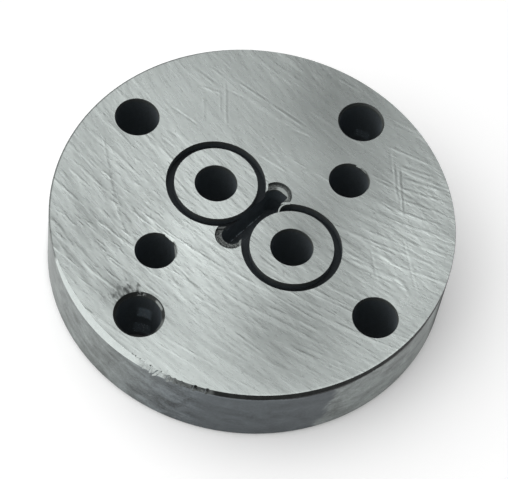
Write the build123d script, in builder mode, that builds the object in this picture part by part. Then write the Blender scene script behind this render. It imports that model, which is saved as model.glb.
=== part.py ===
from build123d import *
import math
import os

# Driving sizes in millimetres. The lid lies on its back, working face up,
# with the centre of the back face at the origin.

disc_dia = 60.0
disc_thickness = 12.0
foot_chamfer = 0.5

# Rim of the working face: a small break all round, a steep wider break along
# the front, and a steep filed bevel at the front left. Both wide cuts are
# cones that stand off centre, so they run out towards their ends.

edge_break = 0.08
rim_width = 0.27
rim_height = 0.86
rim_shift = 0.24
rim_angle = 264.0
bevel_width = 0.62
bevel_height = 1.24
bevel_shift = 4.9
bevel_angle = 220.0

# Dents along the upper edge of the bevel: angle, inset from the rim,
# radius of the dish and depth below the face.

dents = [
    (232.6, 0.60, 0.50, 0.05),
    (233.8, 0.52, 0.50, 0.08),
    (235.3, 0.50, 0.45, 0.07),
    (236.6, 0.42, 0.40, 0.05),
    (238.8, 0.40, 0.50, 0.09),
    (242.2, 0.28, 0.45, 0.10),
]

# Furrows that run down across the rim cuts: angle, lean, radius and depth.

furrows = [
    (236.9, -14.0, 0.22, 0.08),
    (239.0, -8.0, 0.22, 0.14),
    (240.8, -28.0, 0.32, 0.22),
    (244.3, -8.0, 0.36, 0.17),
    (246.1, -6.0, 0.30, 0.12),
    (248.1, -6.0, 0.22, 0.08),
    (251.9, -10.0, 0.40, 0.12),
    (255.3, -10.0, 0.40, 0.12),
]
furrow_length = 2.6

# Four bolt holes on the diagonals and two dowel holes off them.

bolt_inset = 6.0
bolt_hole_dia = 6.6
bolt_count = 4
bolt_start_angle = 45.0
dowel_dia = 6.0
dowel_x = 14.5
dowel_y = 6.35

# Burrs pushed over the dowel holes: side, direction, rise into the hole,
# span along the rim and drop below the face.

dowel_burrs = [
    (-1, 45.0, 0.2, 1.6, 0.0),
    (-1, 2.0, 0.2, 2.2, 0.12),
    (1, 57.0, 0.2, 0.8, 0.0),
    (1, 38.0, 0.15, 1.1, 0.06),
]
burr_thickness = 0.25
burr_root = 0.1

# Widths of the broken edges around the holes of the working face.

bolt_breaks = [0.25, 0.08, 0.42, 0.10]
dowel_break = 0.06
port_break = 0.05
back_break = 0.3

# Two ports, each with a raised land inside a relief groove.

port_spacing = 15.3
port_dia = 6.3
port_line_angle = 135.0
land_dia = 12.4
groove_width = 1.25
groove_depth = 1.5

# Drain slot between the lands: a deep slot and a shallow ledge around its ends.
# Thin walls part the ledge from the grooves; at one end they are worn lower.

slot_angle = 45.0
slot_length = 12.3
slot_width = 3.0
slot_depth = 6.0
ledge_length = 14.6
ledge_width = 4.55
ledge_depth = 0.45
ledge_wall = 0.3
worn_depth = 0.2
worn_reach = 3.2

# Cutter mark that squares one corner of the slot: length along the slot,
# width across it, inset from its side and corner radius.

mark_length = 1.9
mark_width = 1.7
mark_inset = 0.2
mark_radius = 0.25

# Thin lip left standing between the slot and one relief groove.

lip_thickness = 0.2
lip_drop = 0.0
lip_start_angle = 90.0
lip_end_angle = 106.0
lip_bulge = 0.12

# Derived sizes.

disc_r = disc_dia / 2
rim_cuts = [
    (rim_width, rim_height, rim_shift, rim_angle),
    (bevel_width, bevel_height, bevel_shift, bevel_angle),
]
face_z = disc_thickness
bolt_r = bolt_hole_dia / 2
bolt_circle_r = disc_r - bolt_inset
dowel_r = dowel_dia / 2
port_r = port_dia / 2
port_offset = port_spacing / 2
land_r = land_dia / 2
groove_r = land_r + groove_width


def polar(radius, degrees):
    turn = math.radians(degrees)
    return radius * math.cos(turn), radius * math.sin(turn)


with BuildPart() as lid:
    # Plain disc with a chamfered back edge and a small break on the working face.
    with BuildSketch(Plane.XY):
        Circle(disc_r)
    extrude(amount=disc_thickness)
    chamfer(lid.faces().sort_by(Axis.Z)[0].edges(), length=foot_chamfer)
    chamfer(lid.faces().sort_by(Axis.Z)[-1].edges(), length=edge_break)

    # Rim cuts: each one is the outside of a cone whose axis stands off the disc centre.
    for width, height, shift, angle in rim_cuts:
        cut_x, cut_y = polar(-shift, angle)
        cut_r = disc_r + shift
        with BuildSketch(Plane((cut_x, cut_y, face_z), x_dir=(1, 0, 0), z_dir=(0, -1, 0))):
            with BuildLine():
                Polyline(
                    (cut_r - 2 * width, height),
                    (cut_r + width, -2 * height),
                    (cut_r + width, height),
                    close=True,
                )
            make_face()
        revolve(axis=Axis((cut_x, cut_y, 0), (0, 0, 1)), mode=Mode.SUBTRACT)

    # Dents: shallow dishes in the upper edge of the bevel.
    for angle, inset, radius, depth in dents:
        dent_x, dent_y = polar(disc_r - inset, angle)
        with Locations((dent_x, dent_y, face_z + radius - depth)):
            Sphere(radius, mode=Mode.SUBTRACT)

    # Furrows: round channels along the slope of the rim cuts.
    slope = math.atan2(rim_height, rim_width)
    for angle, lean, radius, depth in furrows:
        outward = Vector(*polar(1, angle), 0)
        sideways = Vector(*polar(1, angle + 90), 0)
        upward = Vector(0, 0, 1)
        down = outward * math.cos(slope) - upward * math.sin(slope)
        normal = outward * math.sin(slope) + upward * math.cos(slope)
        run = down * math.cos(math.radians(lean)) + sideways * math.sin(math.radians(lean))
        middle = Vector(*polar(disc_r - rim_width / 2, angle), face_z - rim_height / 2)
        with Locations(Plane(middle + normal * (radius - depth), x_dir=normal, z_dir=run)):
            Cylinder(radius, furrow_length, mode=Mode.SUBTRACT)

    # Relief grooves: a ring around each land.
    with BuildSketch(Plane.XY.offset(face_z)):
        with PolarLocations(port_offset, 2, start_angle=port_line_angle):
            Circle(groove_r)
            Circle(land_r, mode=Mode.SUBTRACT)
    extrude(amount=-groove_depth, mode=Mode.SUBTRACT)

    # Ledge around the slot ends: it stops short of the grooves and leaves a thin wall.
    slot_plane = Plane((0, 0, face_z), x_dir=(*polar(1, slot_angle), 0), z_dir=(0, 0, 1))
    port_turn = port_line_angle - slot_angle
    with BuildSketch(slot_plane):
        SlotOverall(ledge_length, ledge_width)
        with PolarLocations(port_offset, 2, start_angle=port_turn):
            Circle(groove_r + ledge_wall, mode=Mode.SUBTRACT)
    extrude(amount=-ledge_depth, mode=Mode.SUBTRACT)

    # Worn end: the thin walls there stand lower than the face.
    with BuildSketch(slot_plane):
        SlotOverall(ledge_length, ledge_width)
        with Locations((-ledge_length / 2, 0)):
            Rectangle(2 * worn_reach, ledge_width, mode=Mode.INTERSECT)
        with PolarLocations(port_offset, 2, start_angle=port_turn):
            Circle(land_r, mode=Mode.SUBTRACT)
    extrude(amount=-worn_depth, mode=Mode.SUBTRACT)

    # Deep drain slot: it opens into both grooves and leaves the lands whole.
    mark_x = (slot_length - mark_length) / 2
    mark_y = mark_inset + (mark_width - slot_width) / 2
    with BuildSketch(slot_plane):
        SlotOverall(slot_length, slot_width)
        with Locations((mark_x, mark_y)):
            RectangleRounded(mark_length, mark_width, mark_radius)
        with PolarLocations(port_offset, 2, start_angle=port_turn):
            Circle(land_r, mode=Mode.SUBTRACT)
    extrude(amount=-slot_depth, mode=Mode.SUBTRACT)

    # Thin lip: it follows the outer edge of the groove, then bends across it to the land.
    lip_x, lip_y = polar(-port_offset, port_line_angle)
    lip_mid = (lip_start_angle + 2 * lip_end_angle) / 3
    with BuildSketch(Plane((lip_x, lip_y, face_z - groove_depth))):
        with BuildLine():
            ThreePointArc(
                polar(groove_r, lip_start_angle),
                polar((land_r + groove_r) / 2 + 2 * lip_bulge, lip_mid),
                polar(land_r, lip_end_angle),
            )
            offset(amount=lip_thickness / 2)
        make_face()
    extrude(amount=groove_depth - lip_drop)

    # Through holes: bolts, dowels and ports.
    with Locations(Plane.XY.offset(face_z)):
        with PolarLocations(bolt_circle_r, bolt_count, start_angle=bolt_start_angle):
            Hole(bolt_r)
        with Locations((dowel_x, dowel_y), (-dowel_x, -dowel_y)):
            Hole(dowel_r)
        with PolarLocations(port_offset, 2, start_angle=port_line_angle):
            Hole(port_r)

    # Edge breaks of the holes in the working face.
    for index, width in enumerate(bolt_breaks):
        spot = Vector(*polar(bolt_circle_r, bolt_start_angle + 90 * index), face_z)
        rims = lid.edges().filter_by(GeomType.CIRCLE).group_by(Axis.Z)[-1]
        chamfer(rims.sort_by_distance(spot)[0], length=width)
    for side in (1, -1):
        spot = Vector(side * dowel_x, side * dowel_y, face_z)
        rims = lid.edges().filter_by(GeomType.CIRCLE).group_by(Axis.Z)[-1]
        chamfer(rims.sort_by_distance(spot)[0], length=dowel_break)
    for side in (1, -1):
        spot = Vector(*polar(side * port_offset, port_line_angle), face_z)
        rims = lid.edges().filter_by(GeomType.CIRCLE).group_by(Axis.Z)[-1]
        chamfer(rims.sort_by_distance(spot)[0], length=port_break)

    # Burrs over the rims of the dowel holes.
    for side, angle, rise, span, drop in dowel_burrs:
        reach = rise + burr_root
        burr_x, burr_y = polar(dowel_r + burr_root - reach / 2, angle)
        with BuildSketch(Plane.XY.offset(face_z - drop - burr_thickness)):
            with Locations((side * dowel_x, side * dowel_y)):
                Circle(dowel_r + burr_root)
            with Locations((side * dowel_x + burr_x, side * dowel_y + burr_y)):
                Rectangle(reach, span, rotation=angle, mode=Mode.INTERSECT)
        extrude(amount=burr_thickness)

    # Edge breaks of the holes in the back face.
    back = lid.edges().filter_by(GeomType.CIRCLE).group_by(Axis.Z)[0]
    chamfer(back.filter_by(lambda e: e.radius < disc_r / 2), length=back_break)

lid.part.label = "lid"

os.makedirs("parts", exist_ok=True)
export_step(lid.part, "parts/lid.step")
print("volume", round(lid.part.volume, 2), "solids", len(lid.part.solids()))
print("box", lid.part.bounding_box())
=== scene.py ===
import math

import bpy
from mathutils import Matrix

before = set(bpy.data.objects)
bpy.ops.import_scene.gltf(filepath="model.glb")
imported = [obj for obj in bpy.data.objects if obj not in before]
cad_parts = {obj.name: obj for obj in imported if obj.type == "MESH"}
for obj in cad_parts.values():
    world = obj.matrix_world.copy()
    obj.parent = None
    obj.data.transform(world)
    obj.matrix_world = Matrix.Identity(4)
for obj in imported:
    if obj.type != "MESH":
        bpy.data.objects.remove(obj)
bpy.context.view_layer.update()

# Sizes of the lid in millimetres, as in the CAD model
MM = 0.001
DISC_R = 30.0
FACE_Z = 12.0
BOLT_AT = 24.0
BOLT_R = 3.3
FRONT_LEFT = 225.0
DOWEL = (14.5, 6.35)
DOWEL_R = 3.0
SLOT_ANGLE = 45.0
SLOT_FLOOR_Z = 6.0
GROOVE_FLOOR_Z = 10.5
LEDGE_Z = 11.55
WORN_Z = 11.8
LEDGE_R = 2.275
LEDGE_TURN = 7.3 - LEDGE_R

# Ring in millimetres outside which a point belongs to the wall or its rim cuts
OUTSIDE_R = (28.3, 28.6)

# Zones round the rim: azimuth in degrees where each is nothing, then where it is full
# The bevel zone is painted bright as a highlight
BEVEL_STARTS = (-166.0, -163.5)
BEVEL_ENDS = (-115.5, -117.5)
# The front cut zone is painted dark as a reflection
FRONT_CUT_STARTS = (-105.0, -102.0)
FRONT_CUT_ENDS = (-4.0, -12.0)
# The wall zone is painted shade on the front of the wall
WALL_SHADE_STARTS = (-140.0, -103.0)
WALL_SHADE_ENDS = (-69.0, -71.4)

# More zones round the rim: azimuth of the start and the end, softness of both. The chewed zone is wear, the
# nicked zone nicks under painted shade, the front edge a painted highlight on the face, the dark band
# painted shade on the wall and the pale line a painted highlight under it
CHEWED = (-125.0, -114.5, 1.5)
NICKED_AND_SHADED = (-116.5, -104.0, 1.0)
FRONT_EDGE = (-95.0, -38.0, 6.0)
DARK_BAND = (-103.0, -12.0, 3.0)
PALE_LINE = (-110.0, -77.0, 3.0)

# Levels of grey that the zones start from
FACE_LEVEL = 0.385
WALL_LEVEL = 0.222
BORE_LEVEL = 0.30
# The bevel level is a painted highlight
BEVEL_LEVEL = 0.66
DENT_LEVEL = 0.34
CHEWED_LEVEL = 0.36
CHEWED_WALL_LEVEL = 0.34
# The front cut level is a painted dark reflection
FRONT_CUT_LEVEL = 0.018

# Red, green and blue as shares of the level, on the bare steel and in the sunk places and the painted shade
# on the wall
BARE_TINT = (0.94, 1.015, 0.99)
DARK_TINT = (0.88, 1.0, 1.09)
WALL_RED = 0.92
SHADED_WALL_RED = 0.89

# Roughness of the face, the wall and everything sunk below the face
FACE_ROUGHNESS = 0.28
WALL_ROUGHNESS = 0.42
BORE_ROUGHNESS = 0.6

# Height in metres of one unit of relief on the face
BUMP_HEIGHT = 0.000014

# Floor: half side in metres, tone, painted shadow tone under the lid, own light, and where that painted
# shadow ends
FLOOR_REACH = 3.0
FLOOR_TONE = 0.88
CONTACT_TONE = 0.12
FLOOR_GLOW = 0.3
CONTACT_R = (0.027, 0.031)

# World: strength of the plain part, of the dim part and of what the window adds
SKY_STRENGTH = 0.6
DIM_STRENGTH = 0.05
WINDOW_STRENGTH = 0.6

# Patches of the world: direction, then the cosines to it where each starts and is full
FRONT_DIM = (0.45, -0.8, 0.4, 0.42, 0.66)
RIGHT_DIM = (0.9, -0.4, 0.3, 0.6, 0.85)
WINDOW = (-0.9, -0.2, 0.4, 0.7, 0.9)

# Lamp: place and side in metres, power in watts
LAMP_PLACE = (-0.315, 0.07, 0.623)
LAMP_SIZE = 1.1
LAMP_POWER = 4.56

# Camera: place in metres, turn in degrees, focal length and sensor width in millimetres
CAMERA_PLACE = (-0.03067423, -0.16927977, 0.28398092)
CAMERA_TURN = (31.29875688, -5.20063003, -2.01289774)
CAMERA_LENS = 155.308
SENSOR_WIDTH = 36.0

# Centres that the lapping strokes bend about, far off the disc
LAP_CENTRE = (78.0, 73.0)
RIDGE_CENTRE = (66.0, 92.0)
STEEP_CENTRE = (98.0, 36.0)

# Painted soft shade and light on the face, the last row a soft grey under the smear: centre, size, amount
SHADES = [
    (13, 20, 9, -0.125),
    (9, -2, 8, -0.12),
    (4, -20, 9, -0.155),
    (-6, -6, 10, 0.13),
    (24, -6, 8, 0.075),
    (-24, 0, 8, -0.04),
    (-14, 20, 10, 0.045),
    (-10, -22, 9, 0.033),
    (0, 24, 9, 0.02),
    (-18, -14, 7, -0.09),
    (0, -6, 7, -0.03),
    (-23, -4, 5, -0.06),
    (-3, -9, 6, -0.045),
    (-10, 9, 4, 0.045),
    (15, 9, 6, -0.055),
    (14, -14, 4, -0.04),
    (19, 1, 4, -0.03),
    (27, 4, 4, 0.035),
    (-6, -6, 4, -0.035),
    (-7, -21, 5, -0.03),
    (-22, -13, 4, -0.02),
    (-21, -8, 4, 0.03),
    (-22, 14, 4, -0.05),
    (-22, 2, 4, 0.025),
    (-19.4, -12.7, 2.1, -0.05),
]

# Where the strokes are stronger or weaker: centre, size, amount
STRENGTHS = [
    (-21, -5, 12, 0.8),
    (-8, -14, 8, 0.45),
    (18, -8, 9, 0.1),
    (-8, 22, 12, -0.5),
    (14, 16, 12, -0.6),
    (12, 2, 8, -0.4),
    (4, 24, 8, -0.15),
    (22, 14, 8, -0.3),
    (24, 4, 6, 0.25),
]

# Where the finest marks are missing: centre, size, amount
CALMS = [
    (2, 22, 9, -0.6),
    (13, 14, 9, -0.7),
    (10, 3, 6, -0.5),
    (-8, 18, 7, -0.3),
    (22, 16, 7, -0.5),
]

# Darkest spots of the smear beside the front left bolt hole: centre, size, amount
SMEAR_SPOTS = [
    (-20.8, -13.8, 0.5, 0.5),
    (-20.4, -12.4, 0.45, 0.4),
    (-19.5, -12.8, 0.65, 0.45),
    (-18.3, -12.5, 0.5, 0.35),
    (-18.7, -11.2, 0.35, 0.35),
    (-17.1, -12.2, 0.3, 0.5),
    (-17.1, -13.2, 0.4, 0.6),
    (-16.2, -13.4, 0.35, 0.5),
]

# Long scratches on the face: start, end, half width, strength. Strength is above 0
# for a dark line and below 0 for a light one. The paler or darker flank lies on the
# left of the way from start to end, or on the right where the width is negative.
SCRATCHES = [
    (-2.1, 24.6, 3.8, 19.9, -0.30, 1.0),
    (3.4, 20.2, 9.0, 15.6, -0.33, 1.3),
    (-8.6, 27.0, -3.8, 22.6, -0.35, 0.8),
    (-3.8, 22.6, -0.4, 20.6, 0.30, 0.6),
    (-6.0, 26.6, -3.6, 24.4, 0.30, -0.7),
    (-3.2, 24.4, -3.3, 15.0, -0.28, 1.1),
    (-4.5, 22.7, -4.4, 17.5, 0.25, -0.8),
    (-6.6, 21.9, -6.6, 16.1, -0.28, 0.8),
    (-7.5, 22.9, -4.1, 21.6, 0.30, -0.8),
    (-12.0, 19.1, -7.5, 15.4, 0.28, 1.0),
    (-13.5, 13.5, -11.2, 11.2, 0.30, 1.1),
    (-12.7, 15.0, -10.5, 13.1, 0.28, 0.8),
    (5.6, 15.4, 9.4, 13.8, 0.30, 0.5),
    (-21.9, 13.9, -20.9, 7.2, -0.30, 1.1),
    (-21.1, 7.8, -20.1, 2.3, -0.30, 1.2),
    (-20.5, 2.0, -18.5, -4.7, 0.30, -1.2),
    (-28.4, 4.6, -25.2, 1.2, 0.35, -0.9),
    (-24.0, 1.8, -20.1, -1.9, 0.35, -1.0),
    (-26.6, -4.5, -21.4, -10.5, -0.33, 1.3),
    (-29.0, -1.2, -26.2, -5.7, 0.30, 0.8),
    (-22.8, -8.7, -20.4, -11.1, 0.30, -0.8),
    (-28.5, -5.3, -26.6, -9.0, 0.30, -0.9),
    (-20.1, 2.4, -16.5, -0.9, 0.30, 0.8),
    (0.0, -6.2, 4.7, -10.7, 0.30, 1.4),
    (0.8, -5.4, 5.2, -9.8, 0.22, -0.6),
    (-6.2, -14.0, -3.9, -16.0, -0.35, 1.5),
    (-1.9, -16.1, 1.9, -19.5, -0.30, 1.0),
    (-3.8, -19.5, 1.1, -23.6, 0.30, -0.9),
    (4.9, -22.1, 11.6, -26.2, 0.30, -0.8),
    (0.8, -12.4, 9.4, -18.3, 0.22, -0.9),
    (8.6, -17.7, 16.9, -23.3, 0.25, -0.9),
    (13.1, -7.1, 19.4, -9.9, 0.33, -0.9),
    (18.8, -9.6, 22.1, -11.6, 0.33, -0.9),
    (14.0, -8.4, 20.9, -12.0, 0.30, -0.6),
    (16.9, -4.9, 17.6, -11.6, 0.28, 0.8),
    (21.6, -2.3, 23.4, -14.0, 0.28, 0.8),
    (22.5, 9.8, 22.5, -0.4, -0.30, 1.5),
    (21.3, 10.0, 21.6, 2.2, 0.30, -1.3),
    (21.1, 12.4, 21.1, 7.5, 0.28, 0.7),
    (20.3, 12.8, 27.7, 9.0, 0.33, -1.2),
    (22.0, 9.1, 27.4, 7.0, 0.36, -1.3),
    (22.2, 7.0, 29.2, 4.4, 0.36, -1.3),
    (18.3, 6.6, 21.0, 4.9, 0.30, -0.9),
    (21.6, 5.2, 28.6, 2.8, 0.36, -1.3),
    (21.4, 3.3, 29.0, 0.3, 0.36, -1.2),
    (20.8, 1.3, 28.6, -1.6, 0.33, -1.0),
    (18.1, 2.9, 21.2, 0.7, 0.30, -0.8),
    (19.4, -3.6, 28.9, -9.7, 0.35, 0.8),
    (15.6, -3.6, 27.8, -8.9, 0.35, -0.7),
]

# Bright strokes on the face right of the second port, scratches painted lighter as glints: start, end, half
# width, strength
STROKES = [
    (12.6, -5.9, 17.6, -9.2, 0.45, 3.0),
    (13.6, -7.3, 19.6, -11.0, 0.38, 2.4),
    (16.6, -5.6, 20.0, -8.0, 0.36, 2.0),
    (18.0, -6.4, 21.8, -9.4, 0.42, 2.6),
    (17.4, -9.1, 20.4, -11.2, 0.40, 2.4),
    (19.9, -9.9, 21.9, -12.9, 0.48, 3.0),
    (20.9, -11.0, 22.2, -13.8, 0.36, 1.8),
]

# Light patches deep in the bolt holes: angle of the hole, direction from its centre,
# height, half width, half height, level
GLINTS = [
    (FRONT_LEFT, 71.0, 6.9, 1.0, 1.3, 0.75),
    (FRONT_LEFT, 73.0, 2.3, 1.3, 1.4, 0.50),
    (45.0, 64.0, 4.3, 1.2, 0.9, 0.45),
]


def at(radius, degrees):
    """Place in the plane of the lid at a radius and an angle."""
    turn = math.radians(degrees)
    return radius * math.cos(turn), radius * math.sin(turn)


class Net:
    """Short names for shader nodes. A value is a number or an output socket."""

    def __init__(self, tree):
        self.tree = tree

    def node(self, kind, **settings):
        made = self.tree.nodes.new(kind)
        for key, value in settings.items():
            setattr(made, key, value)
        return made

    def put(self, socket, value):
        if isinstance(value, bpy.types.NodeSocket):
            self.tree.links.new(value, socket)
        else:
            socket.default_value = value

    def math(self, op, a, b=None):
        made = self.node("ShaderNodeMath", operation=op)
        for socket, value in zip(made.inputs, (a, b)):
            if value is not None:
                self.put(socket, value)
        return made.outputs[0]

    def add(self, a, b):
        return self.math("ADD", a, b)

    def sub(self, a, b):
        return self.math("SUBTRACT", a, b)

    def mul(self, a, b):
        return self.math("MULTIPLY", a, b)

    def total(self, *values):
        result = values[0]
        for value in values[1:]:
            result = self.add(result, value)
        return result

    def weigh(self, *pairs):
        """Sum of values, each times its own weight."""
        return self.total(*[self.mul(value, weight) for value, weight in pairs])

    def pile(self, start, parts):
        """Running sum of parts that are made one at a time."""
        result = start
        for part in parts:
            result = self.add(result, part)
        return result

    def product(self, *values):
        result = values[0]
        for value in values[1:]:
            result = self.mul(result, value)
        return result

    def most(self, a, b):
        return self.math("MAXIMUM", a, b)

    def invert(self, a):
        return self.sub(1.0, a)

    def step(self, value, start, end, low=0.0, high=1.0):
        """Smooth step of value from start to end; start may be above end.

        The node's own clamp stays off: the smooth step holds its ends without it, and
        with it a material of this size doesn't fit the render engine.
        """
        flip = start > end
        made = self.node("ShaderNodeMapRange", interpolation_type="SMOOTHSTEP", clamp=False)
        self.put(made.inputs["Value"], value)
        made.inputs["From Min"].default_value = min(start, end)
        made.inputs["From Max"].default_value = max(start, end)
        made.inputs["To Min"].default_value = high if flip else low
        made.inputs["To Max"].default_value = low if flip else high
        return made.outputs["Result"]

    def band(self, value, start, end, soft):
        """1 from start to end, with soft ends."""
        return self.mul(self.step(value, start - soft, start + soft),
                        self.step(value, end + soft, end - soft))

    def mix(self, factor, a, b):
        made = self.node("ShaderNodeMix", data_type="FLOAT")
        self.put(made.inputs[0], factor)
        self.put(made.inputs[2], a)
        self.put(made.inputs[3], b)
        return made.outputs[0]

    def point(self, x, y, z):
        made = self.node("ShaderNodeCombineXYZ")
        for socket, value in zip(made.inputs, (x, y, z)):
            self.put(socket, value)
        return made.outputs[0]

    def noise(self, where, scale, seed, detail, rough, warp=0.0):
        """Noise centred on 0, about -1 to 1; scale is the rate along each axis."""
        mapping = self.node("ShaderNodeMapping")
        self.put(mapping.inputs["Vector"], where)
        mapping.inputs["Scale"].default_value = scale
        mapping.inputs["Location"].default_value = (0.0, 0.0, seed)
        made = self.node("ShaderNodeTexNoise")
        self.put(made.inputs["Vector"], mapping.outputs[0])
        made.inputs["Scale"].default_value = 1.0
        made.inputs["Detail"].default_value = detail
        made.inputs["Roughness"].default_value = rough
        made.inputs["Distortion"].default_value = warp
        return self.mul(self.sub(made.outputs["Fac"], 0.5), 2.0)

    def far(self, x, y, cx, cy):
        """Distance from a centre."""
        return self.math("SQRT", self.add(self.math("POWER", self.sub(x, cx), 2.0),
                                          self.math("POWER", self.sub(y, cy), 2.0)))

    def turn(self, x, y, cx, cy, zero=0.0):
        """Direction from a centre in degrees, counted from zero, -180 to 180."""
        dx, dy = self.sub(x, cx), self.sub(y, cy)
        c, s = math.cos(math.radians(zero)), math.sin(math.radians(zero))
        along = self.add(self.mul(dx, c), self.mul(dy, s))
        across = self.sub(self.mul(dy, c), self.mul(dx, s))
        return self.mul(self.math("ARCTAN2", across, along), 180 / math.pi)

    def spot(self, x, y, cx, cy, size, amount=1.0):
        """Round soft patch."""
        square = self.math("POWER", self.far(x, y, cx, cy), 2.0)
        return self.mul(self.math("EXPONENT", self.mul(square, -1.0 / size ** 2)), amount)


class Surface:
    """Position on the lid in millimetres, and the zones of its surface."""

    def __init__(self, n):
        coords = n.node("ShaderNodeTexCoord")
        self.metres = coords.outputs["Object"]
        split = n.node("ShaderNodeSeparateXYZ")
        n.put(split.inputs[0], self.metres)
        self.x, self.y, self.z = (n.mul(split.outputs[i], 1 / MM) for i in range(3))
        normal = n.node("ShaderNodeSeparateXYZ")
        n.put(normal.inputs[0], coords.outputs["Normal"])
        self.radius = n.far(self.x, self.y, 0.0, 0.0)
        self.azimuth = n.turn(self.x, self.y, 0.0, 0.0)
        self.arc = n.mul(self.azimuth, math.radians(DISC_R))
        c, d = math.cos(math.radians(SLOT_ANGLE)), math.sin(math.radians(SLOT_ANGLE))
        self.along_slot = n.add(n.mul(self.x, c), n.mul(self.y, d))
        self.across_slot = n.sub(n.mul(self.y, c), n.mul(self.x, d))
        self.outside = n.step(self.radius, *OUTSIDE_R)
        self.upright = n.step(n.math("ABSOLUTE", normal.outputs[2]), 0.25, 0.15)
        self.upward = n.step(normal.outputs[2], 0.85, 0.95)
        self.sloping = n.band(normal.outputs[2], 0.6, 0.8, 0.05)
        self.flat = n.step(normal.outputs[2], 0.5, 0.85)
        self.face = n.step(self.z, FACE_Z - 0.012, FACE_Z - 0.004)
        self.wall = n.mul(self.outside, self.upright)
        self.bevel = n.product(self.outside, n.invert(self.face), n.invert(self.upright),
                               n.step(self.z, 10.0, 10.5))
        self.back = n.step(self.z, 0.012, 0.004)
        self.inner = n.product(n.invert(self.outside), n.invert(self.face), n.invert(self.back))
        self.grain = self.mottle(n, 4.0, 0.0, 1.0, 0.6)
        self.chip = self.mottle(n, 3.0, 51.0, 2.0, 0.6)

    def mottle(self, n, rate, seed, detail, rough):
        """Even noise in space; the rate is per millimetre."""
        return n.noise(self.metres, (rate / MM, rate / MM, rate / MM), seed, detail, rough)

    def bent(self, n, centre):
        """Distance from a far centre and way round it, in millimetres."""
        run = n.mul(n.turn(self.x, self.y, *centre), math.radians(math.hypot(*centre)))
        return n.point(n.far(self.x, self.y, *centre), run, 0.0)


def scratch(n, place, x0, y0, x1, y1, width, strength):
    """One long scratch with a flank of the other sign; it fades out at both ends."""
    length = math.hypot(x1 - x0, y1 - y0)
    dx, dy = (x1 - x0) / length, (y1 - y0) / length
    along = n.node("ShaderNodeVectorMath", operation="DOT_PRODUCT")
    n.put(along.inputs[0], place)
    along.inputs[1].default_value = (dx, dy, 0.0)
    middle = ((x0 + x1) * dx + (y0 + y1) * dy) / 2
    ends = n.step(n.math("ABSOLUTE", n.sub(along.outputs["Value"], middle)), length / 2, length * 0.25)
    across = n.node("ShaderNodeVectorMath", operation="DOT_PRODUCT")
    n.put(across.inputs[0], place)
    across.inputs[1].default_value = (-dy, dx, 0.0)
    offset = n.sub(across.outputs["Value"], dx * y0 - dy * x0)
    core = n.step(n.math("ABSOLUTE", offset), abs(width), 0.0)
    flank = n.step(n.math("ABSOLUTE", n.sub(offset, 1.2 * width)), abs(width), 0.0)
    return n.product(n.sub(core, n.mul(flank, 0.75)), ends, strength)


def smudge(n, s):
    """Dark ragged smear on the face above and left of the front left bolt hole."""
    cx, cy = at(BOLT_AT, FRONT_LEFT)
    off = n.sub(n.far(s.x, s.y, cx, cy), BOLT_R)
    turn = n.turn(s.x, s.y, cx, cy, 127.0)
    blot = n.noise(s.bent(n, STEEP_CENTRE), (1.9, 1.0, 0.0), 83.0, 2.0, 0.6)
    near = n.mul(n.step(off, 3.2, 0.4), n.band(turn, -34.0, 24.0, 14.0))
    edge = n.mul(n.step(off, 0.9, 0.1), n.band(turn, -60.0, 40.0, 14.0))
    spots = n.pile(0.0, (n.spot(s.x, s.y, *values) for values in SMEAR_SPOTS))
    dirt = n.add(n.weigh((near, 0.6), (edge, 0.3), (blot, 1.1)), spots)
    return n.step(dirt, 0.2, 1.15)


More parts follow.
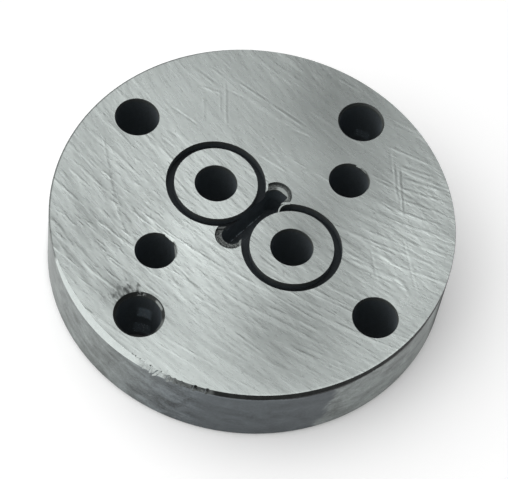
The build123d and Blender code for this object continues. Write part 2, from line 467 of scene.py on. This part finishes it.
def lapped_face(n, s):
    """Level, bump height and fine streaks of the lapped face."""
    lap, ridge, sharp = (s.bent(n, centre) for centre in (LAP_CENTRE, RIDGE_CENTRE, STEEP_CENTRE))
    broad = n.noise(lap, (0.55, 0.05, 0.0), 3.1, 1.0, 0.5)
    middle = n.noise(lap, (1.2, 0.12, 0.0), 11.7, 1.0, 0.5)
    fine = n.noise(lap, (2.4, 0.5, 0.0), 17.9, 1.0, 0.5)
    short = n.noise(lap, (1.7, 1.0, 0.0), 47.1, 1.0, 0.5)
    bits = n.step(n.noise(ridge, (1.5, 0.4, 0.0), 81.3, 1.0, 0.5), 0.16, 0.5)
    steep = n.noise(sharp, (1.0, 0.1, 0.0), 27.3, 1.0, 0.5)
    cuts = n.step(n.noise(lap, (1.1, 0.07, 0.0), 33.3, 1.0, 0.5), 0.18, 0.5)
    ridges = n.step(n.noise(ridge, (1.1, 0.07, 0.0), 61.3, 1.0, 0.5), 0.14, 0.45)
    cloud = s.mottle(n, 0.16, 5.5, 3.0, 0.55)
    wobble = n.mul(s.mottle(n, 0.35, 71.0, 2.0, 0.6), 0.18)
    place = n.point(n.add(s.x, wobble), n.sub(s.y, wobble), 0.0)
    single = n.pile(0.0, (scratch(n, place, *values) for values in SCRATCHES))
    # Scratches painted lighter as glints
    strokes = n.pile(0.0, (scratch(n, place, *values) for values in STROKES))
    calm = n.pile(1.0, (n.spot(s.x, s.y, *values) for values in CALMS))
    small = n.mul(n.weigh((fine, 0.5), (short, 0.4), (s.grain, 0.3)), calm)
    marks = n.add(n.weigh((broad, 0.55), (middle, 0.9), (steep, 0.6)), small)
    left = n.add(0.15, n.spot(s.x, s.y, -20.0, -2.0, 13.0))
    chips = n.mul(bits, n.mul(left, n.add(1.1, n.mul(s.grain, 1.4))))
    relief = n.total(marks, n.mul(ridges, 0.8), n.mul(cuts, -0.5), chips)
    strength = n.pile(1.0, (n.spot(s.x, s.y, *values) for values in STRENGTHS))
    shade = n.pile(FACE_LEVEL, (n.spot(s.x, s.y, *values) for values in SHADES))
    lines = n.weigh((marks, 0.062), (ridges, 0.05), (cuts, -0.025), (chips, 0.06))
    level = n.total(shade, n.mul(lines, strength), n.mul(cloud, 0.03), n.mul(single, -0.04),
                    n.mul(strokes, 0.04))
    level = n.mix(smudge(n, s), level, n.add(0.06, n.mul(s.grain, 0.03)))
    # Painted shade along the far left edge of the face
    level = n.mix(far_rim(n, s), level, 0.15)
    # Painted highlight along the front edge of the face
    front_edge = n.mul(n.step(s.radius, 29.35, 29.7), n.band(s.azimuth, *FRONT_EDGE))
    level = n.add(level, n.mul(front_edge, 0.07))
    level = dowel_rims(n, s, level)
    return level, n.sub(n.mul(relief, strength), n.mul(single, 0.45)), fine


def dowel_rims(n, s, level):
    """Patches on the face beside the dowel holes: a grey crescent and a painted highlight on the burred
    chord beside the left one, a dark rim beside the right one.
    """
    off = n.sub(n.far(s.x, s.y, -DOWEL[0], -DOWEL[1]), DOWEL_R)
    turn = n.turn(s.x, s.y, -DOWEL[0], -DOWEL[1])
    crescent = n.mul(n.step(off, 0.26, 0.16), n.band(turn, -24.0, 30.0, 5.0))
    level = n.mix(crescent, level, n.add(0.24, n.mul(s.grain, 0.06)))
    # Painted highlight on the burred chord
    chord = n.mul(n.step(off, 0.7, 0.2), n.band(turn, 32.0, 66.0, 6.0))
    level = n.add(level, n.mul(chord, 0.11))
    off = n.sub(n.far(s.x, s.y, *DOWEL), DOWEL_R)
    turn = n.turn(s.x, s.y, *DOWEL)
    return n.mix(n.mul(n.step(off, 0.2, 0.1), n.band(turn, -30.0, 36.0, 6.0)), level, 0.1)


def far_rim(n, s):
    """Painted shade: a thin dark line along the outer edge of the face at the far left."""
    left = n.most(n.step(s.azimuth, 88.0, 112.0), n.step(s.azimuth, -166.0, -172.0))
    return n.mul(n.step(s.radius, DISC_R - 0.28, DISC_R - 0.18), left)


def turned_wall(n, s):
    """Level of the cylindrical wall, with painted shade on its front, a painted dark band under the rim and
    a painted pale line below it, and how far the painted front shade reaches.
    """
    round_wall = n.point(s.arc, s.z, 0.0)
    blotch = n.noise(round_wall, (0.30, 0.34, 0.0), 19.0, 3.0, 0.6, 0.8)
    slanted = n.point(n.add(s.arc, n.mul(s.z, 1.2)), s.z, 0.0)
    streak = n.noise(slanted, (0.28, 0.6, 0.0), 29.0, 2.0, 0.6, 0.6)
    speckle = n.noise(round_wall, (3.0, 3.0, 0.0), 23.0, 1.0, 0.5)
    fleck = n.step(n.noise(round_wall, (0.8, 1.1, 0.0), 37.0, 1.0, 0.5), 0.34, 0.5)
    # Painted shade on the front of the wall, with a ragged edge
    edge = n.total(s.azimuth, n.mul(blotch, 3.4), n.mul(n.sub(s.z, 6.0), -0.42))
    painted_wall_shade = n.mul(n.step(edge, *WALL_SHADE_STARTS), n.step(edge, *WALL_SHADE_ENDS))
    rough_part = n.mix(painted_wall_shade, n.step(s.azimuth, -170.0, -160.0, 1.4, 2.4),
                       n.mix(n.step(s.azimuth, -112.0, -104.0), 2.0, 0.6))
    worn = n.weigh((blotch, 0.075), (streak, 0.05), (speckle, 0.03), (fleck, 0.03))
    # Painted shade on the right of the wall
    right = n.add(n.mul(n.band(s.azimuth, -26.0, -14.0, 4.0), -0.10),
                  n.mul(n.band(s.azimuth, -14.0, 12.0, 5.0), -0.05))
    under = n.sub(FACE_Z, s.z)
    drip = n.noise(round_wall, (2.2, 0.5, 0.0), 43.0, 2.0, 0.6)
    # How far down the painted dark band under the rim reaches
    deep = n.total(n.step(s.azimuth, -44.0, -34.0, 0.85, 0.45),
                   n.mul(n.band(s.azimuth, -82.0, -62.0, 7.0), 0.33),
                   n.mul(n.band(s.azimuth, -53.0, -41.0, 4.0), 0.22), n.mul(drip, 0.22))
    # Painted shade as a dark band under the rim, and a painted highlight as a pale line below it
    band = n.mul(n.step(n.sub(under, deep), 0.06, -0.06), n.band(s.azimuth, *DARK_BAND))
    line = n.mul(n.band(n.sub(under, deep), 0.1, 0.42, 0.06), n.band(s.azimuth, *PALE_LINE))
    # The last term is painted light on the wall from azimuth -60 on
    level = n.total(WALL_LEVEL, n.mul(painted_wall_shade, -0.115), n.mul(worn, rough_part), right, n.mul(line, 0.035),
                    n.step(s.azimuth, -70.0, -60.0, 0.0, 0.03))
    level = n.mix(band, level, 0.02)
    chewed = n.product(n.step(s.z, 10.9, 11.2), n.band(s.azimuth, *CHEWED), 0.5)
    return n.mix(chewed, level, n.add(CHEWED_WALL_LEVEL, n.mul(s.chip, 0.35))), painted_wall_shade


def rim_edges(n, s):
    """Level of the cuts round the working face: bevel painted bright as a highlight, chewed zone, nicked
    zone under painted shade, front painted dark as a reflection.
    """
    rag = s.mottle(n, 1.4, 47.0, 2.0, 0.6)
    # Painted highlight on the left front of the bevel
    lit = n.mul(n.step(s.azimuth, *BEVEL_STARTS), n.step(s.azimuth, *BEVEL_ENDS))
    # Painted shade over the nicked zone, with its nicks and blots
    nicked_and_shaded = n.band(s.azimuth, *NICKED_AND_SHADED)
    blots = n.add(n.spot(s.arc, s.z, -56.5, 11.75, 0.5), n.spot(s.arc, s.z, -54.7, 11.7, 0.5))
    bright = n.mix(s.flat, BEVEL_LEVEL, DENT_LEVEL)
    level = n.mix(lit, 0.2, n.total(bright, n.mul(rag, 0.08),
                                    n.mul(s.chip, n.step(s.azimuth, -130.0, -124.0, 0.0, 0.22))))
    level = n.mix(nicked_and_shaded, level, n.total(0.105, n.mul(rag, 0.05), n.mul(s.chip, 0.11), n.mul(blots, -0.12)))
    chewed = n.mul(n.band(s.azimuth, *CHEWED), 0.55)
    level = n.mix(chewed, level, n.add(CHEWED_LEVEL, n.mul(s.chip, 0.35)))
    # Painted dark reflection on the front of the rim cut
    dark = n.mul(n.step(s.azimuth, *FRONT_CUT_STARTS), n.step(s.azimuth, *FRONT_CUT_ENDS))
    return n.most(n.mix(dark, level, n.add(FRONT_CUT_LEVEL, n.mul(rag, 0.012))), 0.008)


def hole_breaks(n, s, level):
    """Broken edges of the holes: painted dark as shade, with painted light and flecks on parts of the front
    left one.
    """
    cx, cy = at(BOLT_AT, FRONT_LEFT)
    off = n.far(s.x, s.y, cx, cy)
    turn = n.turn(s.x, s.y, cx, cy, 30.0)
    fleck = s.mottle(n, 3.2, 53.0, 1.0, 0.5)
    lit = n.mul(n.band(turn, -14.0, 14.0, 4.0), n.step(off, BOLT_R + 0.30, BOLT_R + 0.20))
    low = n.band(turn, -74.0, -42.0, 8.0)
    flecked = n.mul(n.band(turn, 44.0, 66.0, 4.0), n.step(fleck, 0.05, 0.3))
    own = n.total(0.06, n.mul(lit, 0.28), n.mul(low, 0.2), n.mul(flecked, 0.35))
    near = n.step(off, BOLT_R + 0.7, BOLT_R + 0.6)
    return n.mix(n.mul(s.inner, s.sloping), level, n.mix(near, 0.08, own))


def ledge_level(n, s):
    """Shallow ledge at both slot ends: mottled, with painted shade on its outline and its near end, and a
    painted highlight as a bright crescent at the far end.
    """
    mottle = s.mottle(n, 4.5, 91.0, 2.0, 0.7)
    far_end = n.step(s.along_slot, 0.0, 1.0)
    off = n.math("MINIMUM", n.far(s.x, s.y, *at(LEDGE_TURN, SLOT_ANGLE)),
                 n.far(s.x, s.y, *at(-LEDGE_TURN, SLOT_ANGLE)))
    side = n.turn(s.x, s.y, *at(LEDGE_TURN, SLOT_ANGLE), SLOT_ANGLE)
    rim = n.step(off, LEDGE_R - 0.26, LEDGE_R - 0.10)
    lit = n.product(far_end, n.step(off, 1.85, 1.65), n.band(side, -62.0, 40.0, 12.0))
    near_end = n.total(0.085, n.mul(mottle, 0.4), n.step(off, 1.75, 1.6, 0.0, 0.05))
    base = n.mix(far_end, near_end, n.add(0.13, n.mul(mottle, 0.32)))
    outline = n.add(0.085, n.mul(mottle, 0.2))
    return n.most(n.mix(lit, n.mix(rim, base, outline), n.add(0.4, n.mul(mottle, 0.1))), 0.025)


def slot_level(n, s):
    """Inside of the deep slot: dark floor and walls darker towards both ends as painted shade, and a faint
    broken line on the floor along one wall as a painted highlight.
    """
    mottle = s.mottle(n, 1.6, 0.0, 2.0, 0.6)
    dash = n.step(s.mottle(n, 2.6, 97.0, 1.0, 0.5), -0.05, 0.1)
    floor = n.mul(s.upward, n.step(s.z, SLOT_FLOOR_Z + 0.03, SLOT_FLOOR_Z + 0.01))
    # Painted highlight as a broken line at the corner of floor and wall
    corner = n.product(floor, n.step(s.across_slot, 1.30, 1.34), dash,
                       n.band(s.along_slot, -3.4, 3.6, 0.5))
    # Painted shade towards both ends of the slot
    ends = n.mul(n.step(n.math("ABSOLUTE", s.along_slot), 4.2, 5.2), -0.08)
    level = n.mix(floor, n.total(0.29, n.mul(mottle, 0.12), ends), n.add(0.085, n.mul(mottle, 0.04)))
    return n.mix(corner, level, 0.35)


def bores(n, s):
    """Level of everything sunk below the face."""
    level = n.add(BORE_LEVEL, n.mul(s.grain, 0.08))
    for angle, direction, height, half_width, half_height, patch in GLINTS:
        cx, cy = at(BOLT_AT, angle)
        inside = n.step(n.far(s.x, s.y, cx, cy), BOLT_R + 0.6, BOLT_R + 0.5)
        side = n.mul(n.turn(s.x, s.y, cx, cy, direction), math.radians(BOLT_R))
        shape = n.mul(n.band(side, -half_width, half_width, 0.35),
                      n.band(s.z, height - half_height, height + half_height, 0.35))
        flecked = n.add(patch, n.mul(n.step(s.grain, 0.2, 0.5), 0.9))
        level = n.mix(n.mul(shape, inside), level, flecked)
    in_slot = n.mul(n.step(s.radius, 6.6, 6.2), n.step(n.math("ABSOLUTE", s.across_slot), 2.6, 2.4))
    level = n.mix(n.product(s.inner, in_slot, n.step(s.z, 9.9, 8.4)), level, slot_level(n, s))
    shelf = n.mul(s.inner, s.upward)
    # Painted shade: the floors of the ring grooves are nearly black
    groove = n.mul(shelf, n.band(s.z, GROOVE_FLOOR_Z - 0.2, GROOVE_FLOOR_Z + 0.2, 0.05))
    level = n.mix(groove, level, n.add(0.036, n.mul(s.grain, 0.012)))
    ledge = n.mul(shelf, n.band(s.z, LEDGE_Z - 0.1, LEDGE_Z + 0.1, 0.03))
    level = n.mix(ledge, level, ledge_level(n, s))
    worn = n.mix(n.mul(in_slot, n.step(s.across_slot, -0.5, 0.5)), 0.26, 0.12)
    worn_top = n.mul(shelf, n.band(s.z, WORN_Z - 0.05, WORN_Z + 0.13, 0.02))
    level = n.mix(worn_top, level, n.add(worn, n.mul(s.grain, 0.08)))
    return hole_breaks(n, s, level)


def steel():
    """Lapped face, filed bevel, turned wall and dark bores in one material."""
    material = bpy.data.materials.new("lapped_steel_worn")
    material.use_nodes = True
    tree = material.node_tree
    tree.nodes.clear()
    n = Net(tree)
    s = Surface(n)
    face_level, relief, fine = lapped_face(n, s)
    wall_level, painted_wall_shade = turned_wall(n, s)
    level = n.mix(s.outside, bores(n, s), face_level)
    level = n.mix(s.face, level, face_level)
    level = n.mix(s.wall, level, wall_level)
    level = n.mix(s.bevel, level, rim_edges(n, s))
    level = n.mix(s.back, level, face_level)
    colour = n.node("ShaderNodeCombineColor")
    deep = n.mul(s.inner, n.step(s.z, 11.4, 11.0))
    # Red share of the wall, lower in its painted shade
    plain_red = n.mix(s.wall, BARE_TINT[0], n.mix(painted_wall_shade, WALL_RED, SHADED_WALL_RED))
    n.put(colour.inputs[0], n.mul(level, n.mix(deep, plain_red, DARK_TINT[0])))
    n.put(colour.inputs[1], n.mul(level, n.mix(deep, BARE_TINT[1], DARK_TINT[1])))
    bluish = n.most(n.mul(s.wall, painted_wall_shade), deep)
    n.put(colour.inputs[2], n.mul(level, n.mix(bluish, BARE_TINT[2], DARK_TINT[2])))
    outer_roughness = n.mix(s.wall, n.add(FACE_ROUGHNESS, n.mul(fine, 0.05)), WALL_ROUGHNESS)
    roughness = n.mix(s.inner, outer_roughness, BORE_ROUGHNESS)
    height = n.mul(n.mul(relief, s.face), BUMP_HEIGHT)
    bump = n.node("ShaderNodeBump")
    bump.inputs["Strength"].default_value = 1.0
    bump.inputs["Distance"].default_value = 1.0
    n.put(bump.inputs["Height"], height)
    shader = n.node("ShaderNodeBsdfPrincipled")
    shader.inputs["Metallic"].default_value = 1.0
    n.put(shader.inputs["Base Color"], colour.outputs[0])
    n.put(shader.inputs["Roughness"], roughness)
    # Painted shade: weaker reflections on the right of the wall
    painted_shade_tint = n.mul(n.mul(s.wall, n.band(s.azimuth, -27.0, -13.0, 4.0)), -0.75)
    tint = n.node("ShaderNodeCombineColor")
    for socket in tint.inputs[:3]:
        n.put(socket, n.add(painted_shade_tint, 1.0))
    n.put(shader.inputs["Specular Tint"], tint.outputs[0])
    n.put(shader.inputs["Normal"], bump.outputs[0])
    out = n.node("ShaderNodeOutputMaterial")
    n.put(out.inputs[0], shader.outputs[0])
    return material


def paper():
    """Pale floor: its own light is seen only directly or in reflections, and not under the lid, where its
    tone is also dark as a painted shadow.
    """
    material = bpy.data.materials.new("paper")
    material.use_nodes = True
    tree = material.node_tree
    tree.nodes.clear()
    n = Net(tree)
    diffuse = n.node("ShaderNodeBsdfDiffuse")
    glow = n.node("ShaderNodeEmission")
    path = n.node("ShaderNodeLightPath")
    seen = n.most(n.most(path.outputs["Is Camera Ray"], path.outputs["Is Glossy Ray"]),
                  path.outputs["Is Transmission Ray"])
    tread = n.node("ShaderNodeSeparateXYZ")
    n.put(tread.inputs[0], n.node("ShaderNodeTexCoord").outputs["Object"])
    # Painted shadow under the lid: no own light and a dark tone there
    clear = n.step(n.far(tread.outputs[0], tread.outputs[1], 0.0, 0.0), *CONTACT_R)
    n.put(glow.inputs["Strength"], n.product(seen, clear, FLOOR_GLOW))
    tone = n.mix(clear, CONTACT_TONE, FLOOR_TONE)
    grey = n.node("ShaderNodeCombineColor")
    for socket in grey.inputs[:3]:
        n.put(socket, tone)
    n.put(diffuse.inputs["Color"], grey.outputs[0])
    both = n.node("ShaderNodeAddShader")
    n.put(both.inputs[0], diffuse.outputs[0])
    n.put(both.inputs[1], glow.outputs[0])
    out = n.node("ShaderNodeOutputMaterial")
    n.put(out.inputs[0], both.outputs[0])
    return material


def add_floor():
    """Square floor that the lid lies on."""
    mesh = bpy.data.meshes.new("floor")
    corners = [(x * FLOOR_REACH, y * FLOOR_REACH, 0) for x, y in ((-1, -1), (1, -1), (1, 1), (-1, 1))]
    mesh.from_pydata(corners, [], [(0, 1, 2, 3)])
    mesh.materials.append(paper())
    floor = bpy.data.objects.new("floor", mesh)
    bpy.context.scene.collection.objects.link(floor)


def add_world():
    """White round the horizon, a dim side behind the camera and a brighter window at the left."""
    world = bpy.data.worlds.new("studio")
    bpy.context.scene.world = world
    world.use_nodes = True
    tree = world.node_tree
    tree.nodes.clear()
    n = Net(tree)
    where = n.node("ShaderNodeTexCoord").outputs["Generated"]
    split = n.node("ShaderNodeSeparateXYZ")
    n.put(split.inputs[0], where)

    def toward(x, y, z, start, end):
        """1 near a direction, fading to 0 where the cosine falls from end to start."""
        dot = n.node("ShaderNodeVectorMath", operation="DOT_PRODUCT")
        n.put(dot.inputs[0], where)
        length = math.sqrt(x * x + y * y + z * z)
        dot.inputs[1].default_value = (x / length, y / length, z / length)
        return n.step(dot.outputs["Value"], start, end)

    above = n.step(split.outputs[2], 0.1, 0.22)
    dim = n.mul(n.most(toward(*FRONT_DIM), toward(*RIGHT_DIM)), above)
    window = n.mul(toward(*WINDOW), WINDOW_STRENGTH)
    background = n.node("ShaderNodeBackground")
    n.put(background.inputs["Strength"], n.mix(dim, n.add(window, SKY_STRENGTH), DIM_STRENGTH))
    out = n.node("ShaderNodeOutputWorld")
    n.put(out.inputs[0], background.outputs[0])


def add_softbox():
    """Large square lamp aimed at the lid."""
    light = bpy.data.lights.new("softbox", "AREA")
    light.shape = "SQUARE"
    light.size = LAMP_SIZE
    light.energy = LAMP_POWER
    lamp = bpy.data.objects.new("softbox", light)
    bpy.context.scene.collection.objects.link(lamp)
    lamp.location = LAMP_PLACE
    lamp.rotation_euler = (-lamp.location).to_track_quat("-Z", "Y").to_euler()


def add_camera():
    """Camera at the place that the photograph was taken from."""
    data = bpy.data.cameras.new("camera")
    data.sensor_fit = "HORIZONTAL"
    data.sensor_width = SENSOR_WIDTH
    data.lens = CAMERA_LENS
    data.clip_start = 0.01
    data.clip_end = 20.0
    camera = bpy.data.objects.new("camera", data)
    bpy.context.scene.collection.objects.link(camera)
    camera.location = CAMERA_PLACE
    camera.rotation_euler = [math.radians(angle) for angle in CAMERA_TURN]
    bpy.context.scene.camera = camera


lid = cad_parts["lid"]
lid.material_slots[0].material = steel()
add_floor()
add_world()
add_softbox()
add_camera()
bpy.context.scene.view_settings.view_transform = "Standard"
